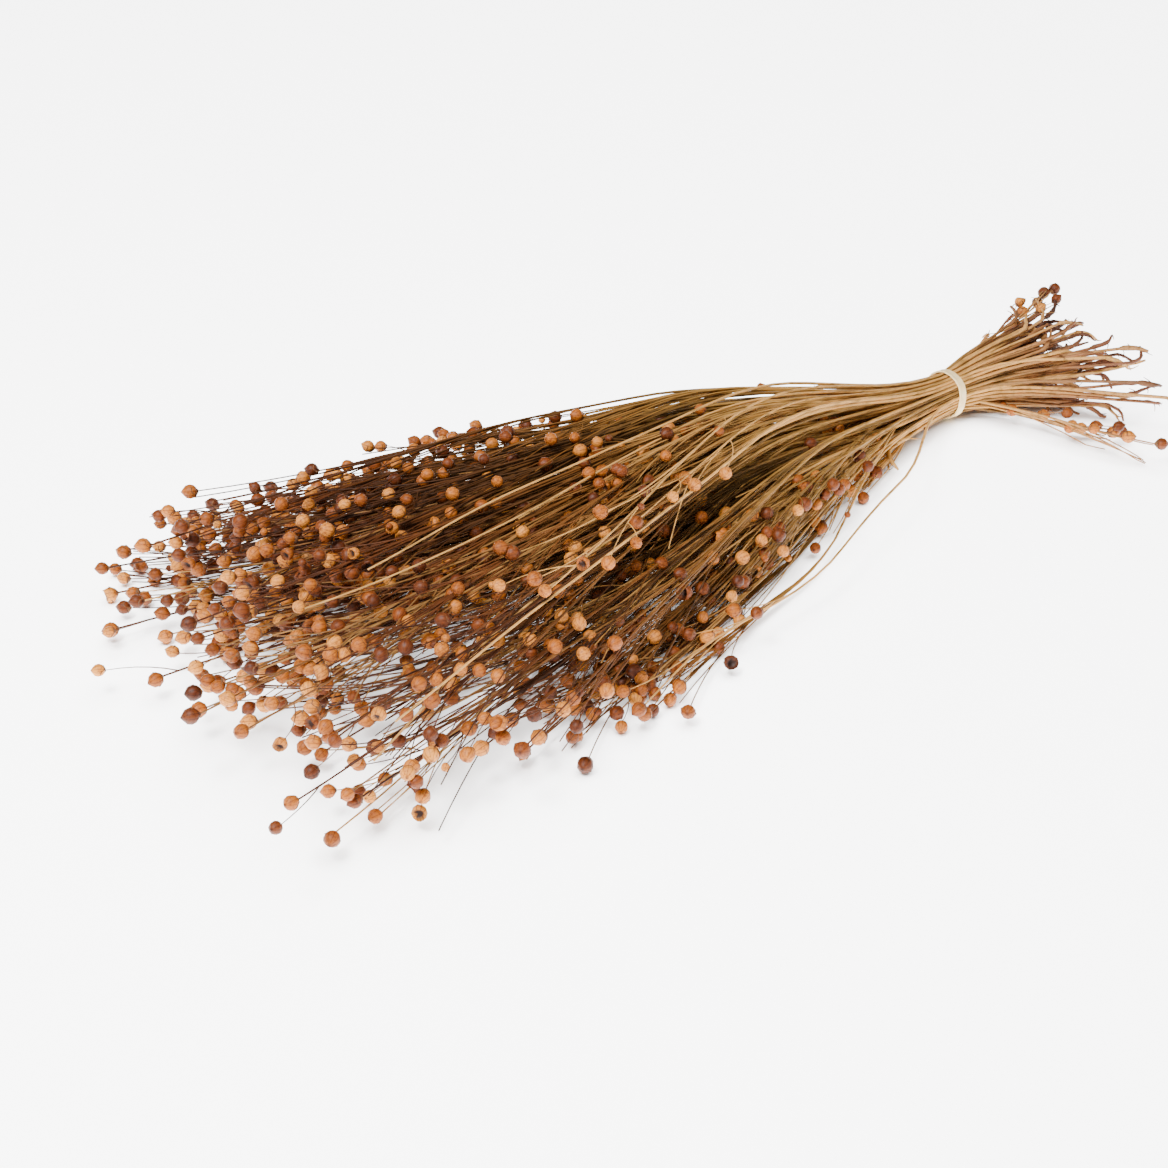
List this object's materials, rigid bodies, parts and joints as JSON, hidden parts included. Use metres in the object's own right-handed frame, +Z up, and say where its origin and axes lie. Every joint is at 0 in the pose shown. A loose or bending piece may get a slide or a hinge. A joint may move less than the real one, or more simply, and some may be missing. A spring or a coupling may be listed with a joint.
{
  "type": "dried flax bundle",
  "caption": "Cut dried flax lying in a loose bundle: straw stalks with round seed bolls fan out one way, root ends the other, held by a cream elastic band.",
  "frame": {"origin": "on the table, under the middle of the whole bundle", "axes": "+X along the bundle from the seed heads to the root ends, +Z up from the table"},
  "size_m": [0.65, 0.3044, 0.0815],
  "materials": {
    "dried_stalk": "dry straw, dull",
    "elastic": "matt, finely ribbed elastic"
  },
  "bodies": {
    "root": {"flax_stalk_01": "dried_stalk", "flax_stalk_02": "dried_stalk", "flax_stalk_03": "dried_stalk", "flax_stalk_04": "dried_stalk", "flax_stalk_05": "dried_stalk", "flax_stalk_06": "dried_stalk", "flax_stalk_07": "dried_stalk", "flax_stalk_08": "dried_stalk", "flax_stalk_09": "dried_stalk", "flax_stalk_10": "dried_stalk", "flax_stalk_11": "dried_stalk", "flax_stalk_12": "dried_stalk", "flax_stalk_13": "dried_stalk", "flax_stalk_14": "dried_stalk", "flax_stalk_15": "dried_stalk", "flax_stalk_16": "dried_stalk", "flax_stalk_17": "dried_stalk", "flax_stalk_18": "dried_stalk", "flax_stalk_19": "dried_stalk", "flax_stalk_20": "dried_stalk", "flax_stalk_21": "dried_stalk", "flax_stalk_22": "dried_stalk", "flax_stalk_23": "dried_stalk", "flax_stalk_24": "dried_stalk", "flax_stalk_25": "dried_stalk", "flax_stalk_26": "dried_stalk", "flax_stalk_27": "dried_stalk", "flax_stalk_28": "dried_stalk", "flax_stalk_29": "dried_stalk", "flax_stalk_30": "dried_stalk", "flax_stalk_31": "dried_stalk", "flax_stalk_32": "dried_stalk", "flax_stalk_33": "dried_stalk", "flax_stalk_34": "dried_stalk", "flax_stalk_35": "dried_stalk", "flax_stalk_36": "dried_stalk", "flax_stalk_37": "dried_stalk", "flax_stalk_38": "dried_stalk", "flax_stalk_39": "dried_stalk", "flax_stalk_40": "dried_stalk", "flax_stalk_41": "dried_stalk", "flax_stalk_42": "dried_stalk", "flax_stalk_43": "dried_stalk", "flax_stalk_44": "dried_stalk", "flax_stalk_45": "dried_stalk", "flax_stalk_46": "dried_stalk", "flax_stalk_47": "dried_stalk", "flax_stalk_48": "dried_stalk", "flax_stalk_49": "dried_stalk", "flax_stalk_50": "dried_stalk", "flax_stalk_51": "dried_stalk", "flax_stalk_52": "dried_stalk", "flax_stalk_53": "dried_stalk", "flax_stalk_54": "dried_stalk", "flax_stalk_55": "dried_stalk", "elastic_band": "elastic"}
  },
  "joints": []
}
